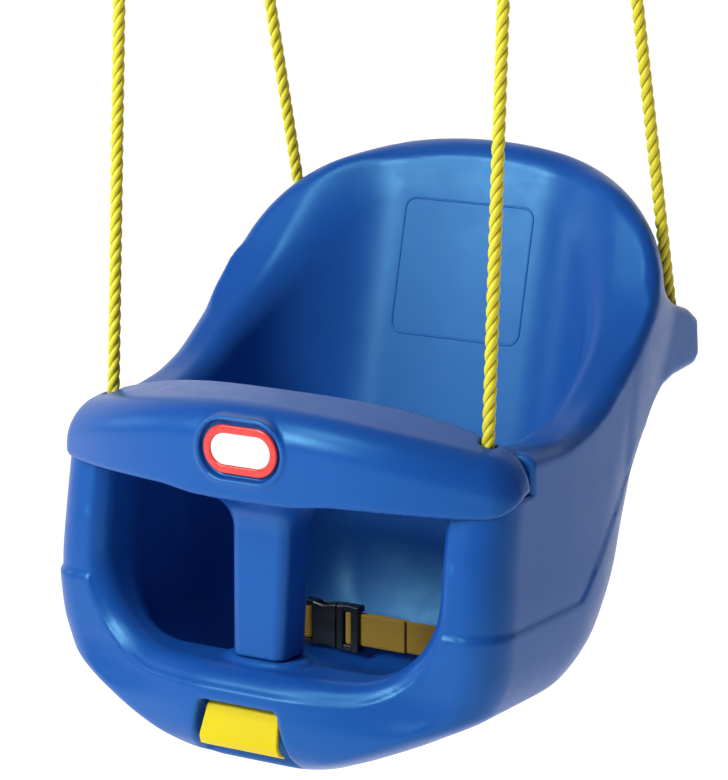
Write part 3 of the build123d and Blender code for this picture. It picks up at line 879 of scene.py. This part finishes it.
def blend_colours(tree, amount, first, second):
    made = tree.nodes.new("ShaderNodeMix")
    made.data_type = "RGBA"
    tree.links.new(amount, made.inputs[0])
    for socket, colour in ((made.inputs[6], first), (made.inputs[7], second)):
        if isinstance(colour, tuple):
            socket.default_value = (*colour, 1)
        else:
            tree.links.new(colour, socket)
    return made.outputs[2]


def bump(tree, shader, height, strength, distance, below=None):
    made = tree.nodes.new("ShaderNodeBump")
    made.inputs["Strength"].default_value = strength
    made.inputs["Distance"].default_value = distance
    tree.links.new(height, made.inputs["Height"])
    if below is not None:
        tree.links.new(below, made.inputs["Normal"])
    tree.links.new(made.outputs["Normal"], shader.inputs["Normal"])
    return made.outputs["Normal"]


def place_vector(tree):
    return tree.nodes.new("ShaderNodeTexCoord").outputs["Object"]


def moulded_plastic(name, colour, pale, rough, grain=1.0, gloss=0.5, tint=(1.0, 1.0, 1.0)):
    """Plastic from a mould: a fine sanded grain, faint clouds in the colour, and sharp edges painted paler: a
    painted highlight along the rims, partly edge wear.
    """
    material, tree, shader = new_material(name)
    where = place_vector(tree)
    clouds = remap(tree, noise(tree, where, 9.0, 3.0), 0.35, 0.65, 0.0, 0.5)
    # tiny pale specks: painted glints in the grain, standing in for sparkle from the lamps
    painted_glint_specks = remap(tree, noise(tree, where, 1400.0, 1.0), 0.60, 0.80, 0.0, 0.35)
    geometry = tree.nodes.new("ShaderNodeNewGeometry")
    # sharp convex edges painted paler: painted highlight along the rims, partly edge wear
    rim_highlight_and_wear = remap(tree, geometry.outputs["Pointiness"], 0.52, 0.60, 0.0, 0.5)
    deep = tuple(c * 0.88 for c in colour)
    base = blend_colours(tree, clouds, colour, deep)
    base = blend_colours(tree, painted_glint_specks, base, pale)
    base = blend_colours(tree, rim_highlight_and_wear, base, pale)
    tree.links.new(base, shader.inputs["Base Color"])
    scuffs = noise(tree, where, 60.0, 6.0, 0.7)
    tree.links.new(remap(tree, scuffs, 0.35, 0.65, rough - 0.03, rough + 0.04), shader.inputs["Roughness"])
    shader.inputs["Specular IOR Level"].default_value = gloss
    shader.inputs["Specular Tint"].default_value = (*tint, 1)
    fine = noise(tree, where, 900.0, 2.0, 0.6)
    low = bump(tree, shader, fine, 0.30 * grain, 0.0002)
    wavy = noise(tree, where, 22.0, 2.0)
    bump(tree, shader, wavy, 0.04 * grain, 0.003, low)
    return material


def rope_fibre():
    """Bright yellow polypropylene: yarns across each strand, with painted shade down between the strands."""
    material, tree, shader = new_material("rope_fibre")
    parts = lay_parts(tree)
    where = place_vector(tree)
    stretched = tree.nodes.new("ShaderNodeCombineXYZ")
    tree.links.new(maths(tree, "MULTIPLY_ADD", parts["Y"], 600.0, parts["X"]), stretched.inputs[0])
    fibres = noise(tree, stretched.outputs[0], 6.0, 4.0, 0.6)
    fuzz = noise(tree, where, 2500.0, 3.0, 0.6)
    yellow, ochre, crevice_shade = (0.82, 0.72, 0.010), (0.58, 0.44, 0.004), (0.16, 0.11, 0.004)
    base = blend_colours(tree, remap(tree, fibres, 0.3, 0.7, 0.0, 0.55), yellow, ochre)
    base = blend_colours(tree, remap(tree, fuzz, 0.55, 0.8, 0.0, 0.5), base, (0.90, 0.82, 0.13))
    # painted shade: the colour darkens where the strands meet, in the grooves between them
    base = blend_colours(tree, remap(tree, parts["Z"], 0.42, 0.05, 0.0, 1.0), base, crevice_shade)
    tree.links.new(base, shader.inputs["Base Color"])
    shader.inputs["Roughness"].default_value = 0.55
    shader.inputs["Sheen Weight"].default_value = 0.15
    shader.inputs["Sheen Roughness"].default_value = 0.4
    low = bump(tree, shader, fibres, 0.5, 0.0004)
    bump(tree, shader, fuzz, 0.25, 0.0002, low)
    return material


def webbing_fibre():
    """Gold polyester webbing: ribs along it, picks across them."""
    material, tree, shader = new_material("webbing")
    parts = lay_parts(tree)
    pick_spacing, rib_spacing = 0.9, 1.92
    picks = maths(tree, "SINE", maths(tree, "MULTIPLY", parts["X"], 2 * math.pi / pick_spacing))
    ribs = maths(tree, "SINE", maths(tree, "MULTIPLY", parts["Y"], 2 * math.pi / rib_spacing))
    weave = maths(tree, "MULTIPLY", picks, ribs)
    where = place_vector(tree)
    fuzz = noise(tree, where, 3000.0, 3.0, 0.6)
    gold, brown = (0.44, 0.24, 0.006), (0.20, 0.10, 0.004)
    base = blend_colours(tree, remap(tree, ribs, -1.0, 1.0, 0.0, 0.6), gold, brown)
    base = blend_colours(tree, remap(tree, weave, 0.3, 1.0, 0.0, 0.4), base, brown)
    base = blend_colours(tree, remap(tree, fuzz, 0.55, 0.8, 0.0, 0.4), base, (0.62, 0.40, 0.03))
    tree.links.new(base, shader.inputs["Base Color"])
    shader.inputs["Roughness"].default_value = 0.6
    shader.inputs["Sheen Weight"].default_value = 0.1
    low = bump(tree, shader, weave, 0.5, 0.0003)
    bump(tree, shader, fuzz, 0.2, 0.0002, low)
    return material


def metal(name, colour, rough):
    """Plated steel with dull spots and a fine grain."""
    material, tree, shader = new_material(name)
    where = place_vector(tree)
    spots = noise(tree, where, 240.0, 4.0, 0.65)
    dull = tuple(c * 0.72 for c in colour)
    base = blend_colours(tree, remap(tree, spots, 0.4, 0.7, 0.0, 1.0), colour, dull)
    tree.links.new(base, shader.inputs["Base Color"])
    shader.inputs["Metallic"].default_value = 1.0
    tree.links.new(remap(tree, spots, 0.3, 0.7, rough - 0.08, rough + 0.1), shader.inputs["Roughness"])
    bump(tree, shader, noise(tree, where, 1600.0, 3.0), 0.15, 0.0002)
    return material


BLUE, PALE_BLUE, BLUE_SHINE = (0.008, 0.070, 0.32), (0.02, 0.15, 0.44), (0.30, 0.78, 1.0)
materials = {
    "seat_plastic": moulded_plastic("seat_plastic", BLUE, PALE_BLUE, 0.33, tint=BLUE_SHINE),
    "bar_plastic": moulded_plastic("bar_plastic", BLUE, PALE_BLUE, 0.32, tint=BLUE_SHINE),
    "latch_plastic": moulded_plastic(
        "latch_plastic", (0.72, 0.54, 0.002), (0.82, 0.64, 0.02), 0.34, 0.4, 0.2),
    "badge_red": moulded_plastic("badge_red", (0.78, 0.035, 0.025), (0.95, 0.30, 0.28), 0.22, 0.15),
    "badge_white": moulded_plastic("badge_white", (0.86, 0.86, 0.88), (0.95, 0.95, 0.95), 0.22, 0.1),
    "black_plastic": moulded_plastic("black_plastic", (0.008, 0.008, 0.010), (0.03, 0.03, 0.033), 0.34, 0.5),
    "rope_fibre": rope_fibre(),
    "webbing": webbing_fibre(),
    "eye_metal": metal("eye_metal", (0.62, 0.63, 0.65), 0.34),
    "washer_metal": metal("washer_metal", (0.60, 0.60, 0.62), 0.30),
    "steel": metal("steel", (0.55, 0.56, 0.58), 0.26),
}


def dress(piece, slot):
    """Gives a piece its slot's material, on all its faces."""
    piece.data.materials.clear()
    piece.data.materials.append(materials[slot])


def add_piece(piece, body, slot, *replaced):
    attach(piece, body)
    if replaced:
        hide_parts(*replaced)
    dress(piece, slot)


# ------------------------------------------------------------------ label panel on the back
PANEL_WIDTH, PANEL_HEIGHT, PANEL_CORNER = 113.0, 105.0, 9.0
PANEL_LEAN = math.atan(0.24)
PANEL_CENTRE = (0.0, 120.0, 317.0)


def make_panel():
    """A blank raised outline on the back's inner face."""
    half_w, half_h = PANEL_WIDTH / 2 - PANEL_CORNER, PANEL_HEIGHT / 2 - PANEL_CORNER
    outline = []
    for (cx, cy), start in (
        ((half_w, half_h), 0), ((-half_w, half_h), 90), ((-half_w, -half_h), 180), ((half_w, -half_h), 270),
    ):
        outline += arc((cx, cy), PANEL_CORNER, start, start + 90, 12)
    closed = outline + outline[:1]
    line, _ = even_steps(closed, 2.5)
    line = line[:-1]
    tangent = np.roll(line, -1, axis=0) - np.roll(line, 1, axis=0)
    tangent /= np.linalg.norm(tangent, axis=1)[:, None]
    outward = np.stack([tangent[:, 1], -tangent[:, 0]], 1)
    profile = [(-1.1, -0.4), (-0.8, 0.25), (-0.3, 0.55), (0.3, 0.55), (0.8, 0.25), (1.1, -0.4)]
    flat = np.concatenate([line + outward * u for u, _ in profile])
    across, up = flat[:, 0], flat[:, 1]
    points = np.stack([
        PANEL_CENTRE[0] + across,
        PANEL_CENTRE[1] + up * math.sin(PANEL_LEAN),
        PANEL_CENTRE[2] + up * math.cos(PANEL_LEAN),
    ], 1)
    inward = np.array([0, -math.cos(PANEL_LEAN), math.sin(PANEL_LEAN)])
    # move the outline onto the seat's surface, then raise its profile
    for _ in range(8):
        points = points + np.outer(-seat_field(*points.T), inward)
    heights = np.repeat([h for _, h in profile], len(line))
    points = points + np.outer(heights, inward)
    count = len(line)
    faces = []
    for k in range(len(profile) - 1):
        for j in range(count):
            a, b = k * count + j, k * count + (j + 1) % count
            faces.append((a, a + count, b + count, b))
    return link_mesh("label_panel_edge", points * MM, faces)


# ------------------------------------------------------------------ the swing
for row in ROPES:
    for side, hand in ((-1, "left"), (1, "right")):
        rope, knot, eye = make_rope(row, side, hand)
        dress(rope, "rope_fibre")
        dress(knot, "rope_fibre")
        dress(eye, "eye_metal")

add_piece(make_seat(), "seat", "seat_plastic", "seat_shell")
add_piece(make_panel(), "seat", "seat_plastic")
add_piece(make_t_bar(), "t_bar", "bar_plastic", "t_bar")
badge_ring, badge_face = make_badge()
add_piece(badge_ring, "t_bar", "badge_red", "badge_bezel")
add_piece(badge_face, "t_bar", "badge_white", "badge_plate")
add_piece(make_latch(), "latch", "latch_plastic", "latch_lever")
housing, insert, prong_arms = make_buckle()
add_piece(housing, "seat", "black_plastic", "buckle_female")
add_piece(insert, "buckle_male", "black_plastic", "buckle_male")
for hand, prong in zip(("upper", "lower"), prong_arms):
    add_piece(prong, f"prong_{hand}", "black_plastic", f"buckle_prong_{hand}")
strap_left, strap_right, strap_fold, strap_loop = make_belts()
add_piece(strap_left, "seat", "webbing", "belt_left")
add_piece(strap_fold, "seat", "webbing")
add_piece(strap_right, "seat", "webbing", "belt_right")
add_piece(strap_loop, "buckle_male", "webbing", "belt_loop")

slots = {s["node"]: s["material_slot"] for s in frame["record"]["subparts"]}
for name, node in frame["nodes"].items():
    if not node.hide_render:
        dress(node, slots[name])


# ------------------------------------------------------------------ studio
def make_floor():
    """A pale floor that sweeps up into a backdrop behind the swing."""
    wide, near, reach, level, height, bend = 12.0, -9.0, 4.0, -0.36, 10.0, 3.0
    line = [(near, level), (reach, level)]
    for a in np.linspace(0.1, math.pi / 2, 14):
        line.append((reach + bend * math.sin(a), level + bend - bend * math.cos(a)))
    line.append((reach + bend, height))
    corners = [(x, y, z) for y, z in line for x in (-wide, wide)]
    faces = [(2 * k, 2 * k + 1, 2 * k + 3, 2 * k + 2) for k in range(len(line) - 1)]
    floor = link_mesh("floor", corners, faces)
    floor.rotation_euler = (0, 0, CAMERA_AZIMUTH)
    material, tree, shader = new_material("floor")
    cloud = noise(tree, place_vector(tree), 2.0, 2.0)
    pale, paler = (0.58, 0.58, 0.585), (0.60, 0.60, 0.60)
    base = blend_colours(tree, remap(tree, cloud, 0.3, 0.7, 0.0, 1.0), paler, pale)
    tree.links.new(base, shader.inputs["Base Color"])
    shader.inputs["Roughness"].default_value = 0.9
    shader.inputs["Emission Color"].default_value = (1, 1, 1, 1)
    shader.inputs["Emission Strength"].default_value = 0.75
    floor.data.materials.append(material)


LAMPS = (
    # name, width in metres, watts, colour, place
    ("key", 1.1, 80.0, (0.90, 1.0, 1.0), (-1.2, -2.5, 1.65)),
    ("side", 0.8, 6.0, (0.75, 1.0, 1.0), (-2.5, -0.9, 0.9)),
    ("top", 0.7, 17.0, (0.75, 1.0, 1.0), (-0.5, -1.5, 2.3)),
    ("fill", 2.4, 1.0, (1.0, 0.75, 1.0), (2.2, -1.6, 0.6)),
)


def make_lights():
    """Soft round lamps that all face the swing, and a faint even sky."""
    middle = Vector((0.0, 0.0, 0.2))
    for name, width, watts, colour, place in LAMPS:
        light = bpy.data.lights.new(name, "AREA")
        light.shape, light.size, light.energy = "DISK", width, watts
        light.color = colour
        lamp = bpy.data.objects.new(name, light)
        lamp.location = place
        lamp.rotation_euler = (middle - Vector(place)).to_track_quat("-Z", "Y").to_euler()
        bpy.context.scene.collection.objects.link(lamp)
    world = bpy.data.worlds.new("studio")
    world.use_nodes = True
    sky = world.node_tree.nodes["Background"]
    sky.inputs["Color"].default_value = (1.0, 0.72, 1.0, 1)
    sky.inputs["Strength"].default_value = 0.16
    bpy.context.scene.world = world
    bpy.context.scene.view_settings.view_transform = "Standard"


make_floor()
make_lights()
